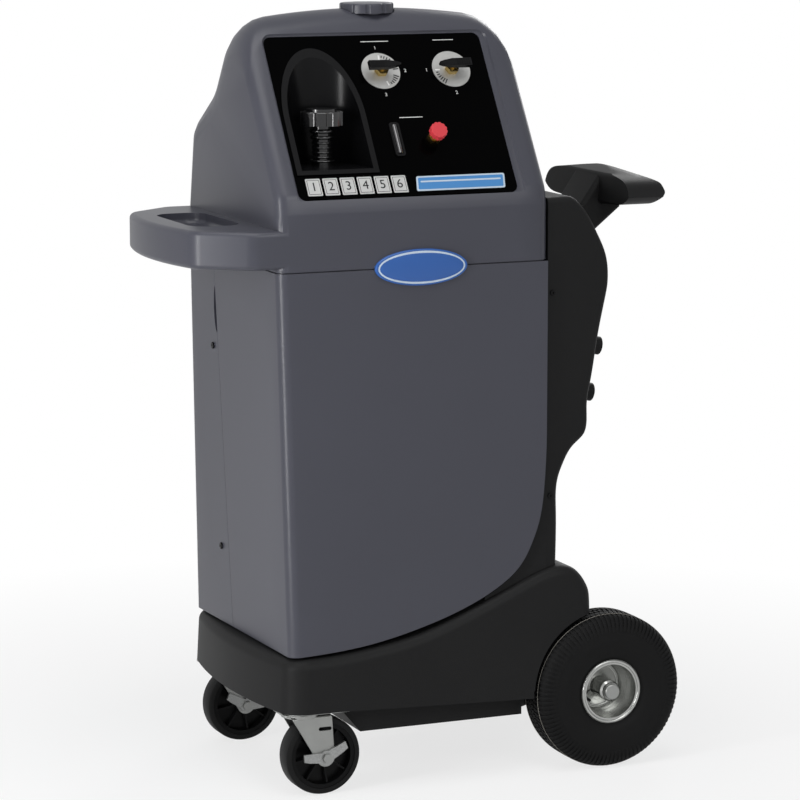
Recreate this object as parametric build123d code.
"""Air conditioning system flusher on a four-wheeled cart.

Millimetres. +Z is up and the floor is at z = 0. +X runs from the casters to the push handle, and the
control panel faces -Y. The origin is on the floor, under the middle of the whole cart.
"""
from build123d import *
import math
import os

# Overall size and rear wheels
overall_length = 838.0
tyre_radius = 128.0
tyre_width = 88.0
tyre_track_half = 196.0
tyre_wall = 7.0
rim_radius = 53.0
rim_width = 72.0
rim_sheet = 2.5
rim_dish = 46.0
hub_radius = 17.0
axle_radius = 8.0
axle_cap_radius = 13.0
axle_cap_length = 6.0
bracket_thickness = 6.0
bracket_half = 134.0
running_gap = 0.05
seat_gap = 0.4

# Casters
deck_z = 140.0
caster_radius = 63.5
caster_width = 34.0
caster_core_radius = 54.0
caster_trail = 32.5
caster_track_half = 180.6
caster_swivel_from_axle = 525.0
caster_plate_length = 84.0
caster_plate_width = 57.0
caster_plate_shift = 5.0
caster_plate_thickness = 3.0
raceway_radius = 31.0
raceway_height = 2.4
kingpin_radius = 6.0
fork_sheet = 3.0
fork_gap_half = 24.5
crown_over_wheel = 2.3
caster_axle_radius = 5.0
brake_tilt = 13.0
brake_thickness = 4.5

# Base pan
base_half_width = 228.0
base_wall = 4.0
base_draft = 3.0
base_bow = 28.0
base_corner_radius = 45.0
base_shoulder_radius = 18.0
base_rear_from_axle = 28.0
arch_gap = 7.0
well_inner_half = 146.0
chassis_drop = 2.0
chassis_thickness = 4.0
skirt_half_width = 188.0
skirt_depth = 46.0
skirt_sheet = 3.0

# Body shells
body_width = 460.0
body_half_depth = 210.0
body_right_from_axle = 109.0
shell_wall = 4.0
body_corner_radius = 18.0
seam_z = 840.0
seam_gap = 2.0
side_seam_y = 82.0
side_seam_lean = 0.0762
side_seam_gap = 0.8
near_corner_taper = 18.0
far_corner_taper = 8.0
notch_height = 84.0
notch_depth = 10.0
body_lift = 3.0

# Hood
slope_foot_z = 945.0
slope_from_vertical = 33.5
hood_top_z = 1235.0
hood_crown_y = 12.0
hood_bow = 20.0
hood_top_corner = 60.0
hood_end_radius = 18.0
hood_knee_radius = 30.0
hood_facet_low_z = 930.0
hood_facet_up = 14.0
hood_back_shelf = (112.0, 1130.0)
hood_back_corner = (190.0, 1052.0)
hood_back_steepness = 1.4
hood_wall = 4.0
tongue_height = 14.0
tray_reach = 141.0
tray_low = 6.0
tray_high = 66.0
tray_edge_radius = 9.0
tray_corner_radius = 40.0
tray_recess_depth = 18.0
tray_recess_length = 84.0
tray_recess_width = 200.0

# Control panel
panel_width = 371.0
panel_height = 290.0
panel_centre_from_right = 236.5
panel_centre_up = 153.0
panel_corner_radius = 12.0
panel_thickness = 3.0
panel_sink = 3.0
panel_ledge = 8.0
panel_margin_right = 11.0
panel_margin_left = 1.5
panel_margin_top = 3.0

# Alcove with the filler
alcove_radius = 60.0
alcove_wall = 3.0
alcove_bezel = 9.0
bezel_height = 2.5
alcove_from_panel_centre = 112.0
alcove_axis_y = -129.0
alcove_floor_z = 995.0
filler_axis_y = -112.0
filler_cap_radius = 34.0
filler_cap_height = 22.0
filler_cap_z = 1059.0
filler_neck_radius = 14.0
filler_bore_radius = 9.0

# Controls on the panel
dial_radius = 32.5
dial_thickness = 1.5
dial_up = 232.0
selection_dial_x = -53.6
filter_dial_x = 68.5
stem_radius = 4.5
nut_height = 9.0
nut_across_flats = 20.0
lever_length = 54.0
lever_width = 14.0
lever_thickness = 9.0
lever_standoff = 17.0
knob_x = 8.0
knob_up = 108.0
knob_radius = 14.0
knob_height = 11.0
knob_standoff = 19.0
sight_x = -54.5
sight_up = 108.0
sight_length = 54.0
sight_width = 13.0
valve_body_size = 34.0
valve_body_depth = 40.0
badge_x = -39.0
badge_length = 157.0
badge_height = 58.0
badge_thickness = 5.0

# Rear column, handle and ports
column_half_width = 203.0
column_rear_half_width = 190.0
column_wall = 4.0
column_edge_radius = 10.0
handle_span = 316.0
handle_stalk_width = 95.0
port_y = -120.0
port_cap_radius = 15.0
port_cap_length = 30.0
port_neck_radius = 10.0
port_neck_length = 22.0
inlet_tip_radius = 6.0
inlet_tip_length = 10.0

# Inner parts
tank_width = 250.0
tank_depth = 270.0
tank_low_z = 470.0
tank_height = 300.0
frame_bar = 12.0
pump_length = 170.0
pump_radius = 62.0
filter_radius = 42.0
filter_height = 190.0

# Places worked out from the driving sizes
axle_x = overall_length / 2 - tyre_radius
axle_z = tyre_radius
body_right = axle_x - body_right_from_axle
body_left = body_right - body_width
tray_end = -overall_length / 2
base_rear = axle_x - base_rear_from_axle
base_left = body_left + 10.0
arch_radius = tyre_radius + arch_gap
arch_front = axle_x - arch_radius
swivel_x = axle_x - caster_swivel_from_axle
caster_x = swivel_x + caster_trail
chassis_z = deck_z - chassis_drop
crown_z = 2 * caster_radius + crown_over_wheel
panel_x = body_right - panel_centre_from_right
alcove_x = panel_x - alcove_from_panel_centre
lean = math.radians(slope_from_vertical)
slope_up = (0, math.sin(lean), math.cos(lean))
slope_out = (0, -math.cos(lean), math.sin(lean))
panel_plane = Plane(origin=(0, -body_half_depth, slope_foot_z), x_dir=(1, 0, 0), z_dir=slope_out)

os.makedirs("parts", exist_ok=True)


def write(name, shape):
    """Write one node, with all of its solids, to its own file."""
    export_step(shape, f"parts/{name}.step")


def joined(pieces):
    """Fuse a list of solids into one shape."""
    whole = pieces[0]
    for piece in pieces[1:]:
        whole = whole + piece
    return whole


def side_block(outline, low_y, high_y):
    """A solid with the given XZ outline, from low_y to high_y."""
    return extrude(Plane.XZ.offset(-high_y) * outline, amount=high_y - low_y, dir=(0, -1, 0))


def end_block(outline, low_x, high_x):
    """A solid with the given YZ outline, from low_x to high_x."""
    return extrude(Plane.YZ.offset(low_x) * outline, amount=high_x - low_x, dir=(1, 0, 0))


def level_block(outline, low_z, high_z, taper=0.0):
    """A solid with the given XY outline, from low_z to high_z."""
    return extrude(Plane.XY.offset(low_z) * outline, amount=high_z - low_z, dir=(0, 0, 1), taper=taper)


def panel_block(outline, low_n, high_n):
    """A solid on the sloping panel, with heights measured out of its face."""
    return extrude(panel_plane.offset(low_n) * outline, amount=high_n - low_n, dir=slope_out)


def rod_y(radius, centre_x, centre_z, low_y, high_y):
    """A round bar along Y."""
    return side_block(Pos(centre_x, centre_z) * Circle(radius), low_y, high_y)


def rod_z(radius, centre_x, centre_y, low_z, high_z):
    """An upright round bar."""
    return level_block(Pos(centre_x, centre_y) * Circle(radius), low_z, high_z)


def box_between(low, high):
    """A box from its lowest to its highest corner."""
    size = [high[k] - low[k] for k in range(3)]
    middle = [(high[k] + low[k]) / 2 for k in range(3)]
    return Pos(*middle) * Box(*size)


def mirrored(shape):
    """The same shape on the other side of the cart's middle plane."""
    return mirror(shape, about=Plane.XZ)


def polygon(points):
    """A face with straight sides."""
    return make_face(Polyline(points, close=True))


def spun_about_y(points, centre_x, middle_y, centre_z, outward):
    """Turn a closed (radius, offset) polygon about a line along Y; outward is -1 on the near side."""
    flat = [(centre_x + r, middle_y + outward * a) for r, a in points]
    section = Plane.XY.offset(centre_z) * polygon(flat)
    return revolve(section, Axis((centre_x, 0, centre_z), (0, 1, 0)), 360)


# Curves shared by the base pan, the body shells and the rear column
def sweep_points(shift_x, shift_z):
    """The lower edge of the body shells: level at the left, then sweeping up to the column."""
    raw = [
        (-308, 97), (-222, 116), (-134, 146), (-82, 173),
        (-46, 203), (-25, 239), (-11, 279), (-3, 340), (0, 420),
    ]
    start = [(-620, 84), (-500, 85), (-400, 88)]
    return [(body_right + x + shift_x, deck_z + z + shift_z) for x, z in start + raw]


def sweep_face(shift_x, shift_z, right, top):
    """The side view of everything above the sweep, up to a right-hand limit and a top."""
    curve = sweep_points(shift_x, shift_z)
    run = Spline(curve, tangents=[(1, 0), (0, 1)])
    first = curve[0]
    last = curve[-1]
    back = Polyline([last, (right, last[1] + 0.01), (right, top), (first[0], top), first])
    if abs(right - last[0]) < 0.5:
        back = Polyline([last, (last[0], top), (first[0], top), first])
    return make_face([run] + back.edges())


def base_profile(inset, bottom):
    """The base pan's outline seen from the side."""
    raw = [(-377, 87), (-308, 94), (-222, 110), (-134, 141), (-60, 172), (13, 199)]
    top = [(body_right + x, deck_z + z - inset) for x, z in [(-560, 85), (-460, 86)] + raw]
    rear = base_rear - inset
    rise = Spline(top, tangents=[(1, 0), (1, 0.2)])
    foot = (rear, deck_z + 128 - inset)
    fall = Spline([top[-1], (rear - 24, deck_z + 190 - inset), (rear - 5, deck_z + 164 - inset), foot],
                  tangents=[(1, 0.2), (0, -1)])
    low = Polyline([foot, (rear, bottom), (top[0][0], bottom), top[0]])
    return make_face([rise, fall] + low.edges())


def base_plan(inset):
    """The base pan's outline seen from above, with a bowed left end."""
    half = base_half_width - inset
    left = base_left + inset
    right = base_rear + 20
    sides = Polyline([(left, -half), (right, -half), (right, half), (left, half)])
    bow = ThreePointArc((left, half), (left - base_bow, 0), (left, -half))
    outline = make_face(sides.edges() + bow.edges())
    ends = outline.vertices().filter_by(lambda v: v.X < left + 1)
    return fillet(ends, base_corner_radius - inset)


def base_solid(inset):
    """The base pan's body, solid; with an inset it is the hollow."""
    low = deck_z - 40
    start = level_block(base_plan(inset), low, deck_z + 260, taper=base_draft)
    body = start & side_block(base_profile(inset, low - 10), -400, 400)
    soft = []
    for edge in body.edges():
        box = edge.bounding_box()
        high = edge.center().Z > deck_z + 60
        along_side = abs(abs(edge.center().Y) - base_half_width) < 25 and box.size.X > 60
        round_end = box.max.X < body_left + 60 and box.size.Z < 12
        if high and (along_side or round_end):
            soft.append(edge)
    return fillet(soft, base_shoulder_radius - inset)


def wheel_well(extra):
    """The space round the rear wheels that the base pan leaves free."""
    near = rod_y(arch_radius + extra, axle_x, axle_z, -400, -well_inner_half + extra)
    return near + mirrored(near)


def roof_hole(gap):
    """The opening in the base pan's roof, under the body shells."""
    return box_between((body_left + 70 + gap, -150 + gap, deck_z + 20), (body_right - 60 - gap, 150 - gap, deck_z + 260))


def make_base_pan():
    """Open-bottomed moulding with the wheel arches and a hole in its roof for the inner frame."""
    hollow = base_solid(base_wall) - wheel_well(base_wall)
    shell = base_solid(0) - wheel_well(0) - hollow
    level_end = swivel_x + caster_plate_length / 2 + 6
    belly = polygon([(body_left - 90, deck_z), (level_end, deck_z), (arch_front, axle_z),
                     (arch_front, 0), (body_left - 90, 0)])
    shell = shell - side_block(belly, -400, 400)
    shell = shell - box_between((arch_front - 1, -400, 0), (axle_x + 60, 400, deck_z))
    return shell - roof_hole(0)


# Base pan, its steel chassis plate and the recessed skirt
pan_draft_at_deck = (40 + chassis_thickness) * math.tan(math.radians(base_draft))
chassis_top = chassis_z + chassis_thickness


def pan_bosses():
    """Four screw blocks inside the pan that stand on the chassis plate."""
    bosses = []
    for x in (body_left + 60, arch_front - 40):
        near = base_half_width - base_wall - 2
        bosses.append(box_between((x, -near, chassis_top), (x + 24, -near + 24, chassis_top + 26)))
        bosses.append(box_between((x, near - 24, chassis_top), (x + 24, near, chassis_top + 26)))
    return joined(bosses)


base_pan = make_base_pan() + pan_bosses()
write("base_pan", base_pan)

plate_plan = base_plan(base_wall + pan_draft_at_deck + seat_gap)
plate_wide = level_block(plate_plan, chassis_z, chassis_top)
plate_wide = plate_wide & box_between((-500, -400, 0), (arch_front - base_wall - 6, 400, 500))
tongue_half = well_inner_half - base_wall - seat_gap
plate_rear = box_between((arch_front - 60, -tongue_half, chassis_z),
                         (base_rear - base_wall - seat_gap, tongue_half, chassis_top))
write("chassis_plate", plate_wide + plate_rear)

skirt_bottom = deck_z - skirt_depth
skirt_right = arch_front - base_wall - 2


def skirt_solid(inset):
    """The undertray under the base pan, with its slanted front."""
    outline = polygon([(-161 + inset, chassis_z + (1 if inset else 0)), (-161 + inset, deck_z - 14),
                       (-134 + inset, skirt_bottom + inset), (skirt_right - inset, skirt_bottom + inset),
                       (skirt_right - inset, chassis_z + (1 if inset else 0))])
    half = skirt_half_width - inset
    return side_block(outline, -half, half)


write("base_skirt", skirt_solid(0) - skirt_solid(skirt_sheet))

# Rear axle, its brackets and caps
lug = axle_radius + 4.5
lug_circle = Pos(axle_x, axle_z) * Circle(lug)
bracket_top = Line((base_rear - 63, chassis_z), (base_rear - 8, chassis_z))
bracket_outline = make_hull(lug_circle.edges() + [bracket_top])
brackets = side_block(bracket_outline, -bracket_half, -bracket_half + bracket_thickness)
brackets = brackets - rod_y(axle_radius + running_gap, axle_x, axle_z, -300, 300)
brackets = brackets - box_between((0, -300, chassis_z), (base_rear + 1, 300, chassis_z + 60))
write("axle_brackets", brackets + mirrored(brackets))

flange_y = tyre_track_half + rim_width / 2
cap_start = flange_y + 0.4
axle_end = cap_start + axle_cap_length - 2
axle_shaft = rod_y(axle_radius, axle_x, axle_z, -axle_end, axle_end)
write("rear_axle", axle_shaft)

cap = rod_y(axle_cap_radius, axle_x, axle_z, -cap_start - axle_cap_length, -cap_start)
cap = fillet(cap.edges().group_by(Axis.Y)[0], 2.5)
cap = cap - rod_y(axle_radius, axle_x, axle_z, -axle_end, 0)
write("axle_caps", cap + mirrored(cap))

# Rear wheels
rim_half = rim_width / 2
barrel = rim_radius - 5.5
dish = rim_half - rim_dish
hub_inner = -(tyre_track_half - bracket_half - 1.0)


def make_rim(side):
    """Pressed rim with a deep dish, welded to a long hub tube; side is -1 for the near wheel."""
    bore = axle_radius + running_gap
    tube = [
        (bore, hub_inner), (hub_radius, hub_inner), (hub_radius, rim_half - 7),
        (axle_cap_radius + 1, rim_half - 4), (axle_cap_radius + 1, rim_half), (bore, rim_half),
    ]
    inner = barrel - rim_sheet
    pressing = [
        (hub_radius, dish - rim_sheet), (hub_radius + 10, dish - rim_sheet - 4), (inner - 6, dish - rim_sheet - 4),
        (inner, dish + 2), (inner, -rim_half), (rim_radius, -rim_half), (rim_radius, -rim_half + rim_sheet),
        (barrel, -rim_half + rim_sheet), (barrel, rim_half - rim_sheet), (rim_radius, rim_half - rim_sheet),
        (rim_radius, rim_half), (inner, rim_half), (inner - 1.5, dish + 9), (inner - 7, dish - 4),
        (hub_radius + 10, dish - 4), (hub_radius, dish + 2),
    ]
    parts = [spun_about_y(points, axle_x, side * tyre_track_half, axle_z, side) for points in (tube, pressing)]
    return Compound(children=parts)


def make_tyre(side):
    """Hollow tyre: rounded side walls and a flat tread with stepped shoulders."""
    half = tyre_width / 2
    bead = rim_half - rim_sheet
    outer = [(barrel + 0.1, bead - 0.1), (rim_radius + 1, bead - 0.1), (rim_radius + 8, half - 5),
             (tyre_radius - 52, half - 1.2), (tyre_radius - 38, half), (tyre_radius - 26, half - 0.8),
             (tyre_radius - 17, half - 4), (tyre_radius - 15, half - 4), (tyre_radius - 7, half - 9),
             (tyre_radius - 2, half - 17), (tyre_radius, half - 28)]
    inner = [(barrel + 0.1, bead - 10), (rim_radius + 3, bead - tyre_wall), (rim_radius + 10, half - 5 - tyre_wall),
             (tyre_radius - 40, half - tyre_wall), (tyre_radius - 18, half - 5 - tyre_wall),
             (tyre_radius - tyre_wall - 2, half - 24)]
    left = [(r, -a) for r, a in reversed(outer)]
    left_inner = [(r, -a) for r, a in inner]
    points = outer + left + left_inner + list(reversed(inner))
    return spun_about_y(points, axle_x, side * tyre_track_half, axle_z, side)


def make_tyre_valve(side):
    """Rubber valve stem standing in the dish, at the lower left."""
    turn = math.radians(215)
    x = axle_x + 32 * math.cos(turn)
    z = axle_z + 32 * math.sin(turn)
    middle = side * tyre_track_half
    low = middle + side * (dish - 4)
    high = middle + side * (dish + 20)
    stem = rod_y(4, x, z, min(low, low + side * 8), max(low, low + side * 8))
    return stem + rod_y(2.6, x, z, min(low, high), max(low, high))


for side, word in ((-1, "near"), (1, "far")):
    write(f"rim_{word}", make_rim(side))
    write(f"tyre_{word}", make_tyre(side))
    write(f"valve_stem_{word}", make_tyre_valve(side))

# Casters
leg_outer = fork_gap_half + fork_sheet
plate_low = chassis_z - caster_plate_thickness
crown_top = crown_z + fork_sheet
lever_inner = leg_outer + 0.8
lever_outer = lever_inner + brake_thickness


def make_caster_plate(y):
    """Top plate with the riveted kingpin."""
    blank = RectangleRounded(caster_plate_length, caster_plate_width, 7)
    blank = Pos(swivel_x + caster_plate_shift, y) * blank
    plate = level_block(blank, plate_low, chassis_z)
    pin = rod_z(kingpin_radius, swivel_x, y, crown_z - 0.3, plate_low)
    head = rod_z(kingpin_radius + 4, swivel_x, y, crown_z - 3.3, crown_z - 0.3)
    return plate + pin + head


def make_fork(y):
    """Pressed fork: crown with the raceway, two tapering legs and a slot in each."""
    axle_hub = Pos(caster_x, caster_radius) * Circle(15)
    top_line = Line((swivel_x - 25, crown_top), (caster_x + 10.5, crown_top))
    outline = make_hull(axle_hub.edges() + [top_line])
    fork = side_block(outline, y - leg_outer, y + leg_outer)
    top_edges = [e for e in fork.edges() if e.center().Z > crown_top - 0.01 and e.bounding_box().size.X > 20]
    fork = fillet(top_edges, 5)
    inside = box_between((-500, y - fork_gap_half, 0), (0, y + fork_gap_half, crown_z))
    fork = fork - inside
    slot = Pos(caster_x - 1, caster_radius + 47) * SlotOverall(22, 6)
    fork = fork - side_block(slot, y - 60, y + 60)
    race = rod_z(raceway_radius, swivel_x, y, crown_z, plate_low - 0.3)
    race = race - rod_z(raceway_radius - 8, swivel_x, y, crown_top, plate_low)
    fork = fork + race
    fork = fork - rod_z(kingpin_radius + running_gap, swivel_x, y, 0, 200)
    return fork - rod_y(caster_axle_radius + running_gap, caster_x, caster_radius, y - 60, y + 60)


def make_caster_axle(y):
    """Axle bolt with its head, and the nut on the inner end."""
    bolt = rod_y(caster_axle_radius, caster_x, caster_radius, y - lever_outer - 0.6, y + leg_outer)
    head = side_block(Pos(caster_x, caster_radius) * RegularPolygon(8, 6), y - lever_outer - 4.6, y - lever_outer - 0.6)
    nut = side_block(Pos(caster_x, caster_radius) * RegularPolygon(8, 6), y + leg_outer, y + leg_outer + 4)
    return bolt + head + nut


def make_core(y):
    """Wheel core: hub, thin web with ribs and the rim under the tread."""
    bore = caster_axle_radius + running_gap
    hub = fork_gap_half - 1.0
    rim_side = caster_width / 2 - 1.5
    points = [(bore, -hub), (13, -hub), (14, -4), (46, -3), (47, -rim_side), (caster_core_radius, -rim_side),
              (caster_core_radius, rim_side), (47, rim_side), (46, 3), (14, 4), (13, hub), (bore, hub)]
    core = spun_about_y(points, caster_x, y, caster_radius, 1)
    for k in range(4):
        rib = Pos(caster_x, caster_radius) * Rot(0, 0, 45 * k + 10) * Rectangle(92, 3)
        rib = side_block(rib, y - rim_side + 3, y + rim_side - 3)
        core = core + (rib - rod_y(12, caster_x, caster_radius, y - 30, y + 30))
    return core


def make_tread(y):
    """Rubber tread ring with rounded shoulders."""
    half = caster_width / 2
    inner = caster_core_radius + running_gap
    points = [(inner, -half), (caster_radius - 4, -half), (caster_radius - 1.2, -half + 1.4),
              (caster_radius, -half + 5), (caster_radius, half - 5), (caster_radius - 1.2, half - 1.4),
              (caster_radius - 4, half), (inner, half)]
    return spun_about_y(points, caster_x, y, caster_radius, 1)


def make_brake(y, tilt):
    """Cast bow-tie brake lever on the axle bolt."""
    wings = []
    for sign in (-1, 1):
        wing = polygon([(0, 9), (sign * 36, 17), (sign * 38, 5), (sign * 30, 1), (0, -9)])
        wings.append(wing)
    blank = Circle(12) + wings[0] + wings[1]
    blank = Pos(caster_x, caster_radius) * Rot(0, 0, tilt) * blank
    lever = side_block(blank, y - lever_outer, y - lever_inner)
    return lever - rod_y(caster_axle_radius + running_gap, caster_x, caster_radius, y - 60, y)


for side, word, tilt in ((-1, "near", brake_tilt), (1, "far", -brake_tilt)):
    y = side * caster_track_half
    write(f"caster_plate_{word}", make_caster_plate(y))
    write(f"caster_fork_{word}", make_fork(y))
    write(f"caster_axle_{word}", make_caster_axle(y))
    write(f"caster_core_{word}", make_core(y))
    write(f"caster_tread_{word}", make_tread(y))
    write(f"brake_lever_{word}", make_brake(y, tilt))

# Body shells: a front one that wraps the near left corner, and a back one
def cabinet_block(inset, low, high):
    """The cabinet between two levels; the left end leans out towards the top."""
    def corners(z):
        down = (seam_z - z) / 614
        near_left = body_left + inset + near_corner_taper * down
        far_left = body_left + inset + far_corner_taper * down
        half = body_half_depth - inset
        right = body_right + (40 if inset else 0)
        outline = polygon([(near_left, -half), (right, -half), (right, half), (far_left, half)])
        ends = outline.vertices().filter_by(lambda v: v.X < body_left + 80)
        return Plane.XY.offset(z) * fillet(ends, body_corner_radius - inset)
    return loft([corners(low), corners(high)], ruled=True)


shell_top = seam_z - seam_gap / 2
shell_low = deck_z + 60
cabinet = cabinet_block(0, shell_low, shell_top) - cabinet_block(shell_wall, shell_low - 5, shell_top + 5)
cabinet = cabinet & side_block(sweep_face(0, body_lift, body_right + 5, seam_z + 50), -300, 300)


def lean_cut(low_shift, high_shift):
    """A leaning slab between two shifts from the side seam."""
    def at(z, shift):
        return side_seam_y + (z - 805) * side_seam_lean + shift
    outline = polygon([(at(100, low_shift), 100), (at(1000, low_shift), 1000),
                       (at(1000, high_shift), 1000), (at(100, high_shift), 100)])
    return end_block(outline, body_left - 30, body_right + 60)


half_seam = side_seam_gap / 2
notch_z = seam_z - 45 - notch_height / 2
notch_y = side_seam_y + (notch_z - 805) * side_seam_lean
notch = end_block(Pos(notch_y - 4, notch_z) * Ellipse(notch_depth + 4, notch_height / 2), body_left - 30, body_left + 30)
front_shell = cabinet - lean_cut(-half_seam, 700)
back_shell = cabinet - lean_cut(-700, half_seam) - notch


# Hood with the tool tray, as a loft of sections from end to end
hood_right = body_right + 2.0
hood_middle = (body_left + hood_right) / 2
hood_half = (hood_right - body_left) / 2


def line_shifted(start, stop, inset):
    """A point and a direction for a line moved to its right-hand side."""
    dy, dz = stop[0] - start[0], stop[1] - start[1]
    size = math.hypot(dy, dz)
    return (start[0] + inset * dz / size, start[1] - inset * dy / size), (dy / size, dz / size)


def crossing(first, second):
    """Where two lines of line_shifted meet."""
    (ay, az), (uy, uz) = first
    (by, bz), (vy, vz) = second
    share = ((by - ay) * vz - (bz - az) * vy) / (uy * vz - uz * vy)
    return (ay + share * uy, az + share * uz)


def hood_section(x, drop, inset):
    """One upright cut through the hood: straight sides, sloping front, rounded crown and shelved back."""
    half = body_half_depth
    low = seam_z + seam_gap / 2
    up = math.sin(lean)
    rise = math.cos(lean)
    foot = (-half - panel_sink * rise, slope_foot_z + panel_sink * up)
    shelf = (hood_back_shelf[0] - 0.36 * drop, hood_back_shelf[1] - 0.7 * drop)
    corner = (hood_back_corner[0] - 0.05 * drop, hood_back_corner[1] - 0.25 * drop)
    tail = (half, seam_z + tray_high)
    side = line_shifted((-half, low), (-half, low + 100), inset)
    facet_top = (foot[0] + hood_facet_up * up, foot[1] + hood_facet_up * rise)
    facet = line_shifted((-half, hood_facet_low_z), facet_top, inset)
    slope = line_shifted(foot, (foot[0] + up, foot[1] + rise), inset)
    fall = line_shifted((shelf[0] - 1, shelf[1] + hood_back_steepness), shelf, inset)
    ledge = line_shifted(shelf, corner, inset)
    back = line_shifted(corner, tail, inset)
    wall = line_shifted((half, low + 100), (half, low), inset)
    apex = crossing(slope, fall)
    spread = math.pi - math.atan(rise / up) - math.atan(hood_back_steepness)
    crown_z = hood_top_z - drop - inset * (1 if drop < hood_bow else 0.3)
    crown_radius = (apex[1] - crown_z) / (1 / math.sin(spread / 2) - 1)
    bends = [crossing(side, facet), crossing(facet, slope), apex,
             crossing(fall, ledge), crossing(ledge, back), crossing(back, wall)]
    radii = [hood_end_radius, hood_knee_radius, crown_radius, 90 + inset, 28, 60]
    run = FilletPolyline((-half + inset, low), *bends, (half - inset, low), radius=radii)
    close = Line((half - inset, low), (-half + inset, low))
    return Plane.YZ.offset(x) * make_face(run.edges() + [close])


def crown_drop(x, from_end):
    """How far the crown lies under the hood's highest point."""
    bow = hood_bow * ((x - hood_middle) / hood_half) ** 2
    reach = max(hood_top_corner - from_end, 0)
    return bow + hood_top_corner - math.sqrt(hood_top_corner ** 2 - reach ** 2)


def hood_end(x, inwards, grow):
    """Rounded end of the hood: a small radius down its edges and a large one over its top corner."""
    steps = []
    for k in range(4):
        turn = math.radians(90 - 30 * k)
        steps.append((hood_end_radius * (1 - math.sin(turn)), hood_end_radius * (1 - math.cos(turn))))
    steps += [(hood_top_corner * 0.5, 0), (hood_top_corner * 0.73, 0), (hood_top_corner, 0)]
    sections = []
    for depth, inset in steps:
        place = x + inwards * depth
        sections.append(hood_section(place, crown_drop(place, depth), grow + inset))
    return loft(sections, ruled=True)


def hood_form(inset):
    """The whole hood without its tray; with an inset it is the hollow."""
    left = body_left + inset
    right = hood_right - inset
    places = [left + hood_top_corner, (left + right) / 2, right - hood_top_corner]
    middle = loft([hood_section(x, crown_drop(x, hood_top_corner), inset) for x in places])
    return middle + hood_end(left, 1, inset) + hood_end(right, -1, inset)


def tray_plan():
    """The tray seen from above: bowed end and rounded corners, blending into the hood's sides."""
    half = body_half_depth
    reach = [(body_left - 40, half), (tray_end + 21, half - 58)]
    start = (body_left + 30, half)
    right = [(x, -y) for x, y in [start] + reach]
    run = Polyline([reach[1], reach[0], start, right[0], right[1], right[2]])
    bow = ThreePointArc(right[2], (tray_end, 0), reach[1])
    outline = make_face(run.edges() + bow.edges())
    bends = outline.vertices().filter_by(lambda v: v.X < body_left - 20)
    return fillet(bends, tray_corner_radius)


def make_tray():
    """Solid tray block with softened edges and a dished recess."""
    block = level_block(tray_plan(), seam_z + tray_low, seam_z + tray_high)
    rims = [e for e in block.edges() if abs(e.center().Z - seam_z - tray_low) < 0.1
            or abs(e.center().Z - seam_z - tray_high) < 0.1]
    rims = [e for e in rims if e.center().X < body_left + 10]
    return fillet(rims, tray_edge_radius)


hood_outer = hood_form(0)
tray = make_tray()
recess_x = (tray_end + body_left) / 2 + 14
recess = level_block(Pos(recess_x, 0) * RectangleRounded(tray_recess_length, tray_recess_width, 30),
                     seam_z + tray_high - tray_recess_depth, seam_z + tray_high + 20)
recess = fillet(recess.edges().group_by(Axis.Z)[0], 9)

panel_blank = Pos(panel_x, panel_centre_up) * RectangleRounded(panel_width, panel_height, panel_corner_radius)


def panel_shape(grow):
    """The control panel's outline, larger or smaller all round."""
    blank = RectangleRounded(panel_width + 2 * grow, panel_height + 2 * grow, max(panel_corner_radius + grow, 3))
    return Pos(panel_x, panel_centre_up) * blank


tongue_out = shell_wall + seat_gap
tongue_in = tongue_out + 3.0
tongue_low = seam_z - tongue_height
hood_floor = seam_z + seam_gap / 2


def seam_plan(inset):
    """The cabinet's outline at the seam, inset by a wall."""
    width = hood_right - body_left - 2 * inset
    depth = 2 * (body_half_depth - inset)
    return Pos((hood_right + body_left) / 2, 0) * RectangleRounded(width, depth, max(body_corner_radius - inset, 3))


hood_hollow = hood_form(hood_wall + 6) & box_between((-500, -400, hood_floor + 4), (500, 400, 1300))
pocket = panel_block(panel_shape(1.0), -panel_thickness, 60)
margin_left = panel_x - panel_width / 2 - panel_margin_left
margin_right = panel_x + panel_width / 2 + panel_margin_right
margin_top = panel_centre_up + panel_height / 2 + panel_margin_top
margin_outline = polygon([(margin_left, -60), (margin_right, -60), (margin_right, margin_top), (margin_left, margin_top)])
margin_outline = fillet(margin_outline.vertices().group_by(Axis.Y)[-1], panel_corner_radius + 3)
margin = extrude(panel_plane * margin_outline, amount=40, dir=slope_out, taper=-35)
window = panel_block(panel_shape(-panel_ledge), -80, 10)
cap_x = panel_x + 14
cap_seat_z = hood_top_z - 8
cap_radius = 43.5
top_cap_height = 16.0
cap_bore = 32.0
hood_bottom = level_block(seam_plan(tongue_in), hood_floor - 1, hood_floor + 5)
tongue = level_block(seam_plan(tongue_out), tongue_low, hood_floor + 2) - level_block(seam_plan(tongue_in), 0, 2000)
hood = hood_outer + tray - recess + tongue
hood = hood - hood_hollow - hood_bottom - pocket - margin - window
hood = hood - rod_z(cap_radius + 1.5, cap_x, hood_crown_y - 4, cap_seat_z, 1400)
hood = hood - rod_z(cap_bore, cap_x, hood_crown_y - 4, 1150, 1400)
write("hood", hood)

# Alcove liner: an upright half-round tub that the sloping panel cuts open
def tub_plan(grow):
    """The tub seen from above: a half circle at the back and straight sides to the front."""
    r = alcove_radius + grow
    arch = Pos(alcove_x, alcove_axis_y) * Circle(r)
    front = Pos(alcove_x, alcove_axis_y - 100) * Rectangle(2 * r, 200)
    return arch + front


def below_panel(height):
    """Everything behind a plane that lies at this height over the panel's face."""
    return panel_block(Pos(panel_x, panel_centre_up) * Rectangle(700, 700), -400, height)


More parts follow.
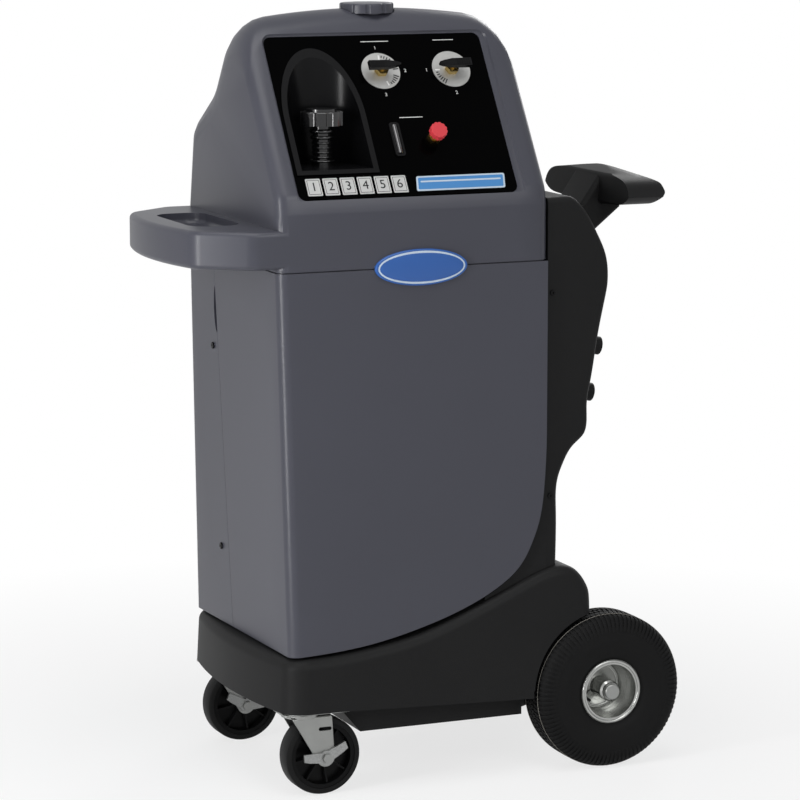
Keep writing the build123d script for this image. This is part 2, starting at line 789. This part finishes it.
tub_outer = level_block(tub_plan(alcove_wall), alcove_floor_z - alcove_wall, 1300) & below_panel(-0.2)
tub_inner = level_block(tub_plan(0), alcove_floor_z, 1300)
bezel_low = (alcove_floor_z - slope_foot_z) / math.cos(lean) - alcove_bezel + 2
bezel_outer = level_block(tub_plan(alcove_bezel), alcove_floor_z - alcove_bezel * 0.7, 1300)
bezel = bezel_outer & panel_block(Pos(panel_x, panel_centre_up) * Rectangle(700, 700), 0, bezel_height)
neck_hole = rod_z(filler_bore_radius + 3.5, alcove_x, filler_axis_y, 900, 1100)
link = level_block(tub_plan(alcove_wall), alcove_floor_z - alcove_wall, 1300)
link = link & panel_block(Pos(panel_x, panel_centre_up) * Rectangle(700, 700), -0.2, 0.5)
alcove_liner = tub_outer + link + bezel - tub_inner - neck_hole
write("alcove_liner", alcove_liner)

# Filler neck, its pipe down to the tank, and the lobed cap
tank_top_z = tank_low_z + tank_height
pipe_radius = filler_bore_radius + 3.0
neck_top = filler_cap_z + 12
neck = rod_z(pipe_radius, alcove_x, filler_axis_y, tank_top_z, neck_top)
neck = neck + rod_z(filler_neck_radius + 3, alcove_x, filler_axis_y, alcove_floor_z, alcove_floor_z + 6)
for k in range(5):
    ring_z = alcove_floor_z + 6 + k * 8
    neck = neck + rod_z(filler_neck_radius, alcove_x, filler_axis_y, ring_z, ring_z + 5.5)
neck = neck + rod_z(filler_neck_radius, alcove_x, filler_axis_y, alcove_floor_z + 45, filler_cap_z - 0.6)
neck = neck - rod_z(filler_bore_radius, alcove_x, filler_axis_y, 0, 1400)
write("filler_neck", neck)


def lobed(radius, lobes, depth):
    """A round outline with shallow finger scoops."""
    blank = Circle(radius)
    for k in range(lobes):
        turn = 360 / lobes * k
        blank = blank - Rot(0, 0, turn) * Pos(radius + depth * 1.2, 0) * Circle(depth * 2)
    return blank


filler_cap = level_block(Pos(alcove_x, filler_axis_y) * lobed(filler_cap_radius, 8, 4),
                         filler_cap_z, filler_cap_z + filler_cap_height)
filler_cap = fillet(filler_cap.edges().group_by(Axis.Z)[-1], 2)
filler_cap = filler_cap + rod_z(filler_cap_radius - 10, alcove_x, filler_axis_y,
                                filler_cap_z + filler_cap_height - 1, filler_cap_z + filler_cap_height + 4)
filler_cap = filler_cap - rod_z(pipe_radius + running_gap, alcove_x, filler_axis_y, 0, neck_top + 0.3)
write("filler_cap", filler_cap)

top_cap = level_block(Pos(cap_x, hood_crown_y - 4) * lobed(cap_radius, 10, 3), cap_seat_z + 0.2,
                      cap_seat_z + top_cap_height)
top_cap = fillet(top_cap.edges().group_by(Axis.Z)[-1], 3)
top_cap = top_cap + rod_z(cap_bore - running_gap, cap_x, hood_crown_y - 4, cap_seat_z - 10, cap_seat_z + 1)
top_cap = top_cap - rod_z(cap_bore - 5, cap_x, hood_crown_y - 4, cap_seat_z - 11, cap_seat_z + 6)
write("top_cap", top_cap)

# Control panel with its valves
stem_hole = nut_across_flats / 2 - 3
sight_hole = Pos(sight_x, sight_up) * RectangleRounded(sight_width - 2, sight_length - 2, 4)
tub_through = level_block(tub_plan(alcove_wall + 0.4), alcove_floor_z - alcove_wall - 0.5, 1300)
panel = panel_block(panel_shape(0), -panel_thickness, 0) - tub_through
for x, up in ((selection_dial_x, dial_up), (filter_dial_x, dial_up), (knob_x, knob_up)):
    panel = panel - panel_block(Pos(x, up) * Circle(stem_hole + 0.3), -20, 20)
panel = panel - panel_block(sight_hole, -20, 20)
write("control_panel", panel)


def make_dial(x):
    """Printed dial plate, left plain."""
    return panel_block(Pos(x, dial_up) * (Circle(dial_radius) - Circle(stem_hole + 0.3)), 0, dial_thickness)


def make_valve_body(x, up, front):
    """Valve block behind the panel with its threaded bush."""
    size = valve_body_size
    body = panel_block(Pos(x, up) * RectangleRounded(size, size, 4), -panel_thickness - valve_body_depth,
                       -panel_thickness)
    body = body + panel_block(Pos(x, up) * Circle(stem_hole), -panel_thickness - 1, front)
    port = panel_block(Pos(x, up) * Circle(8), -panel_thickness - valve_body_depth - 12,
                       -panel_thickness - valve_body_depth)
    return body + port - panel_block(Pos(x, up) * Circle(stem_radius + running_gap), -30, 50)


def make_nut(x, up, low):
    """Hexagon nut that clamps the dial or the panel."""
    nut = panel_block(Pos(x, up) * RegularPolygon(nut_across_flats / 2, 6, major_radius=False), low, low + nut_height)
    return nut - panel_block(Pos(x, up) * Circle(stem_hole + running_gap), -50, 50)


def make_stem(x, up, top):
    """Turned valve stem."""
    return panel_block(Pos(x, up) * Circle(stem_radius), -28, top)


def make_lever(x, turn):
    """Pointer lever: a wide end over the stem and a narrow pointed end."""
    half = lever_length / 2
    wide = lever_width / 2
    outline = polygon([(half, wide), (half, -wide), (-half * 0.2, -wide * 0.95), (-half + 7, -wide * 0.55),
                       (-half, -1.5), (-half, 1.5), (-half + 7, wide * 0.55), (-half * 0.2, wide * 0.95)])
    blank = Pos(x, dial_up) * Rot(0, 0, turn) * outline
    lever = panel_block(blank, lever_standoff, lever_standoff + lever_thickness)
    lever = chamfer(lever.faces().sort_by(lambda f: f.center().dot(Vector(*slope_out)))[-1].edges(), 1.2)
    return lever - panel_block(Pos(x, dial_up) * Circle(stem_radius), -50, lever_standoff + lever_thickness - 3)


bush_top = dial_thickness + nut_height - 1
for word, x, turn in (("selection", selection_dial_x, 180), ("filter", filter_dial_x, 0)):
    write(f"{word}_dial", make_dial(x))
    write(f"{word}_valve_body", make_valve_body(x, dial_up, bush_top))
    write(f"{word}_stem", make_stem(x, dial_up, lever_standoff + lever_thickness - 3))
    write(f"{word}_lever", make_lever(x, turn))

write("agitation_valve_body", make_valve_body(knob_x, knob_up, knob_standoff - 1.5))
nuts = [make_nut(x, dial_up, dial_thickness) for x in (selection_dial_x, filter_dial_x)]
write("valve_nuts", joined(nuts + [make_nut(knob_x, knob_up, 0)]))
knob = panel_block(Pos(knob_x, knob_up) * lobed(knob_radius, 12, 1.3), knob_standoff, knob_standoff + knob_height)
knob = chamfer(knob.faces().sort_by(lambda f: f.center().dot(Vector(*slope_out)))[-1].edges(), 1)
knob = knob - panel_block(Pos(knob_x, knob_up) * Circle(stem_radius), -50, knob_standoff + knob_height - 3)
write("agitation_knob", knob)
write("agitation_stem", make_stem(knob_x, knob_up, knob_standoff + knob_height - 3))

sight_outline = Pos(sight_x, sight_up) * RectangleRounded(sight_width + 4, sight_length + 6, 5)
sight_frame = panel_block(sight_outline, 0, 3) - panel_block(sight_hole, -20, 20)
write("sight_frame", sight_frame)
tube = panel_block(Pos(sight_x, sight_up) * RectangleRounded(sight_width - 2.4, sight_length - 2.4, 4), -10, 1.5)
flange = panel_block(sight_outline, -panel_thickness - 4, -panel_thickness)
write("sight_tube", tube + flange)

# Badge over the seam, left plain
badge = side_block(Pos(badge_x, seam_z) * Ellipse(badge_length / 2, badge_height / 2),
                   -body_half_depth - badge_thickness, -body_half_depth)
badge = fillet(badge.edges().group_by(Axis.Y)[0], 2)
write("badge", badge)

# Rear column
def column_solid(inset):
    """The upright part of the column, tapering to the rear; with an inset it is the hollow."""
    front = body_right + 3 + inset
    rear_low = [(24, 170), (25, 290), (28, 343), (37, 365), (55, 392), (76, 410), (82, 461),
                (88, 495), (102, 573), (116, 635), (120, 666)]
    rear_top = [(120, 666), (116, 699), (96, 742), (71, 780), (56, 794), (9, 799)]
    low = [(body_right + x - inset, deck_z + z) for x, z in rear_low]
    high = [(body_right + x - inset, deck_z + z - inset) for x, z in rear_top]
    low[-1] = high[0]
    up = Spline(low, tangents=[(0, 1), (0, 1)])
    over = Spline(high, tangents=[(0, 1), (-1, 0)])
    close = Polyline([high[-1], (front, high[-1][1]), (front, low[0][1]), low[0]])
    tall = make_face(up.edges() + over.edges() + close.edges())
    half = column_half_width - inset
    slim = column_rear_half_width - inset
    far_half = half - (half - slim) * 150 / 116
    taper = polygon([(body_left, -half), (body_right + 2, -half), (body_right + 152, -far_half),
                     (body_right + 152, far_half), (body_right + 2, half), (body_left, half)])
    return side_block(tall, -400, 400) & level_block(taper, 200, 1100)


def base_side_cut(gap):
    """Everything under the base pan's top line, raised by a gap."""
    return Pos(0, 0, gap) * side_block(base_profile(0, deck_z - 50), -400, 400)


def foot_solid():
    """The black foot between the sweep and the base pan."""
    left = body_right - 105
    over_sweep = side_block(sweep_face(2.5, 0, body_right + 2.5, seam_z + 300), -400, 400)
    block = box_between((left, -column_half_width, deck_z + 60), (body_right + 4, column_half_width, deck_z + 470))
    inner = box_between((left - 10, -column_half_width + column_wall, 0),
                        (body_right + 3, column_half_width - column_wall, 2000))
    return block - over_sweep - inner


column_outer = column_solid(0)
rear_edges = []
for e in column_outer.edges():
    box = e.bounding_box()
    if box.max.X > body_right + 30 and box.size.Z > 60 and box.size.Y < 30 and box.size.X > 5:
        rear_edges.append(e)
column_outer = fillet(rear_edges, column_edge_radius)
column_hollow = column_solid(column_wall + 1) & box_between((0, -400, deck_z + 215), (500, 400, 2000))
rear_column = column_outer + foot_solid() - base_side_cut(0.4) - column_hollow

# Ports on the column's rear face, with push-on caps
port_tilt = 10.0
port_along = (math.cos(math.radians(port_tilt)), 0, -math.sin(math.radians(port_tilt)))
upper_port = (body_right + 98, port_y, deck_z + 549)
lower_port = (body_right + 84.5, port_y, deck_z + 473)
inlet_port = (body_right + 92, -port_y, deck_z + 516)


def port_rod(origin, radius, start, end):
    """A round bar along a port's line; distances are from the column's rear face."""
    plane = Plane(origin=origin, x_dir=(0, 1, 0), z_dir=port_along)
    return extrude(plane.offset(start) * Circle(radius), amount=end - start, dir=port_along)


collar_radius = port_neck_radius + 5
collar_top = 4.0
for origin in (upper_port, lower_port, inlet_port):
    rear_column = rear_column - port_rod(origin, collar_radius + 0.3, -1.5, 30)
    rear_column = rear_column - port_rod(origin, port_neck_radius - 1.9, -30, 5)


def make_port(origin):
    """Threaded bulkhead fitting: collar outside the wall, tail inside, open bore."""
    fitting = port_rod(origin, collar_radius, -1.5, collar_top)
    fitting = fitting + port_rod(origin, port_neck_radius, collar_top - 1, port_neck_length + collar_top)
    fitting = fitting + port_rod(origin, port_neck_radius - 2, -22, 0)
    return fitting - port_rod(origin, port_neck_radius - 5, -25, port_neck_length + 10)


def make_port_cap(origin):
    """Soft cap pushed over the fitting, with a grip ring."""
    low = collar_top + 4
    cap = port_rod(origin, port_cap_radius, low, low + port_cap_length)
    cap = cap + port_rod(origin, port_cap_radius + 1.5, low + 2, low + 8)
    cap = cap - port_rod(origin, port_neck_radius + running_gap, low - 1, port_neck_length + collar_top + 0.4)
    return cap


write("port_fittings", make_port(upper_port) + make_port(lower_port))
write("port_cap_upper", make_port_cap(upper_port))
write("port_cap_lower", make_port_cap(lower_port))
inlet = port_rod(inlet_port, collar_radius, -1.5, collar_top)
inlet = inlet + port_rod(inlet_port, inlet_tip_radius - 1, collar_top - 1, collar_top + 11)
inlet = inlet + port_rod(inlet_port, inlet_tip_radius + 1.5, collar_top + 10, collar_top + 14)
inlet = inlet + port_rod(inlet_port, inlet_tip_radius, collar_top + 14, collar_top + 14 + inlet_tip_length)
inlet = inlet + port_rod(inlet_port, port_neck_radius - 2, -22, 0) - port_rod(inlet_port, 3.5, -25, 60)
write("air_inlet_plug", inlet)

# Push handle: a wing on a sloping stalk
handle_x = body_right + 201.0
handle_z = deck_z + 797.0


def make_handle():
    """Wing with drooping tips and a flat underside, on a wide stalk."""
    half = handle_span / 2
    back_view = Spline([(-half, -10), (-half + 9, 6), (-100, 21), (0, 31), (100, 21), (half - 9, 6), (half, -10)])
    under = Spline([(half, -10), (half - 20, -21), (100, -26), (0, -33), (-100, -26), (-half + 20, -21), (-half, -10)])
    long_view = make_face(back_view.edges() + under.edges())
    wing = extrude(Plane.YZ.offset(handle_x - 60) * Pos(0, handle_z) * long_view, amount=120, dir=(1, 0, 0))
    section = polygon([(-33, -26), (-22, -33), (14, -33), (36, -3), (33, 12), (-2, 32), (-30, 22)])
    section = Pos(handle_x, handle_z) * fillet(section.vertices(), 7)
    wing = wing & side_block(section, -half - 5, half + 5)
    stalk = polygon([(-130, -40), (-83, -109), (-35, -72), (10, -36), (-2, 20), (-30, 18), (-65, -32)])
    stalk = side_block(Pos(handle_x, handle_z) * stalk, -handle_stalk_width / 2, handle_stalk_width / 2)
    lean_edges = [e for e in stalk.edges() if e.bounding_box().size.Y < 1 and e.bounding_box().size.Z > 20]
    stalk = fillet(lean_edges, 8)
    return wing + stalk


handle_solid = make_handle()
push_handle = handle_solid - column_outer
push_handle = max(push_handle.solids(), key=lambda part: part.volume)
write("push_handle", push_handle)

# Small screws
def end_face_x(y, z):
    """Where the cabinet's leaning left end lies at a given point."""
    share = (y + body_half_depth) / (2 * body_half_depth)
    taper = near_corner_taper * (1 - share) + far_corner_taper * share
    return body_left + taper * (seam_z - z) / 614


screw_head_radius = 5.5
screw_shank_radius = 2.5
left_screws = [(side_seam_y + 13, deck_z + 548), (side_seam_y - 2, deck_z + 217)]
side_screws = [(body_right + 12, deck_z + 646), (body_right + 10, deck_z + 316)]
screws = []
for y, z in left_screws:
    x = end_face_x(y, z)
    head = end_block(Pos(y, z) * Circle(screw_head_radius), x - 2.8, x - 0.3)
    head = fillet(head.edges().group_by(Axis.X)[0], 1)
    shank = end_block(Pos(y, z) * Circle(screw_shank_radius), x - 0.4, x + 12)
    socket = end_block(Pos(y, z) * RegularPolygon(2, 6), x - 3, x - 1.2)
    screws.append(head + shank - socket)
    back_shell = back_shell - end_block(Pos(y, z) * Circle(screw_shank_radius + 0.3), x - 20, x + 20)
write("front_shell", front_shell)
write("back_shell", back_shell)

for x, z in side_screws:
    face = column_half_width - (x - body_right - 2) * (column_half_width - column_rear_half_width) / 116
    head = rod_y(screw_head_radius - 1, x, z, -face - 2.8, -face - 0.7)
    shank = rod_y(screw_shank_radius, x, z, -face - 0.8, -face + 9)
    socket = side_block(Pos(x, z) * RegularPolygon(1.8, 6), -face - 3, -face - 1.2)
    screw = head + shank - socket
    screws.append(screw)
    screws.append(mirrored(screw))
    rear_column = rear_column - rod_y(screw_shank_radius + 0.3, x, z, -400, -face + 12)
    rear_column = rear_column - rod_y(screw_shank_radius + 0.3, x, z, face - 12, 400)
write("body_screws", Compound(children=screws))
write("rear_column", rear_column)

# Inner parts: tank, frame, pump and filter
tank_x = body_left + 96 + tank_width / 2
tank_right = tank_x + tank_width / 2
tank_left = tank_x - tank_width / 2
tank = level_block(Pos(tank_x, 0) * RectangleRounded(tank_width, tank_depth, 20), tank_low_z, tank_top_z)
tank_inside = level_block(Pos(tank_x, 0) * RectangleRounded(tank_width - 6, tank_depth - 6, 17),
                          tank_low_z + 3, tank_top_z - 3)
tank = tank - tank_inside - rod_z(filler_bore_radius, alcove_x, filler_axis_y, tank_top_z - 20, tank_top_z + 20)
write("solvent_tank", tank)

post_y = tank_depth / 2 + 2
shell_inner = body_half_depth - shell_wall
frame_parts = []
for x in (tank_left - 2 - frame_bar, tank_right + 2):
    for y in (-post_y - frame_bar, post_y):
        frame_parts.append(box_between((x, y, chassis_top), (x + frame_bar, y + frame_bar, tongue_low)))
    for z in (tank_low_z, tongue_low):
        frame_parts.append(box_between((x, -shell_inner, z - frame_bar), (x + frame_bar, shell_inner, z)))
for y in (-post_y - frame_bar, post_y):
    frame_parts.append(box_between((tank_left - 3, y, tongue_low - frame_bar), (body_right + 3, y + frame_bar, tongue_low)))
    frame_parts.append(box_between((tank_left - 3, y, tank_low_z - frame_bar), (tank_right + 3, y + frame_bar, tank_low_z)))
for x in (tank_x - 60, tank_x + 60):
    frame_parts.append(box_between((x, -post_y - 1, tank_low_z - frame_bar), (x + frame_bar, post_y + 1, tank_low_z)))
write("inner_frame", joined(frame_parts))

pump_x = tank_left + 10 + pump_length / 2
pump_z = chassis_top + pump_radius + 10
pump = Pos(pump_x, 0, pump_z) * Box(pump_length * 0.5, 70, 80)
for sign in (-1, 1):
    start = pump_x + sign * pump_length / 2
    stop = pump_x + sign * pump_length * 0.22
    chamber = end_block(Pos(0, pump_z) * Circle(pump_radius), min(start, stop), max(start, stop))
    pump = pump + chamfer(chamber.edges(), 5)
    pump = pump + box_between((start - sign * 30 - 8, -40, chassis_top), (start - sign * 30 + 8, 40, pump_z - 30))
for z in (pump_z - pump_radius + 6, pump_z + pump_radius - 4):
    pump = pump + end_block(Pos(0, z) * Circle(12), pump_x - pump_length * 0.4, pump_x + pump_length * 0.4)
write("diaphragm_pump", pump)

filter_x = pump_x + pump_length / 2 + 12 + filter_radius
canister = rod_z(filter_radius, filter_x, 0, chassis_top, chassis_top + filter_height)
canister = fillet(canister.edges(), 8)
canister = canister + rod_z(filter_radius * 0.7, filter_x, 0, chassis_top, chassis_top + filter_height + 14)
write("filter_canister", canister)
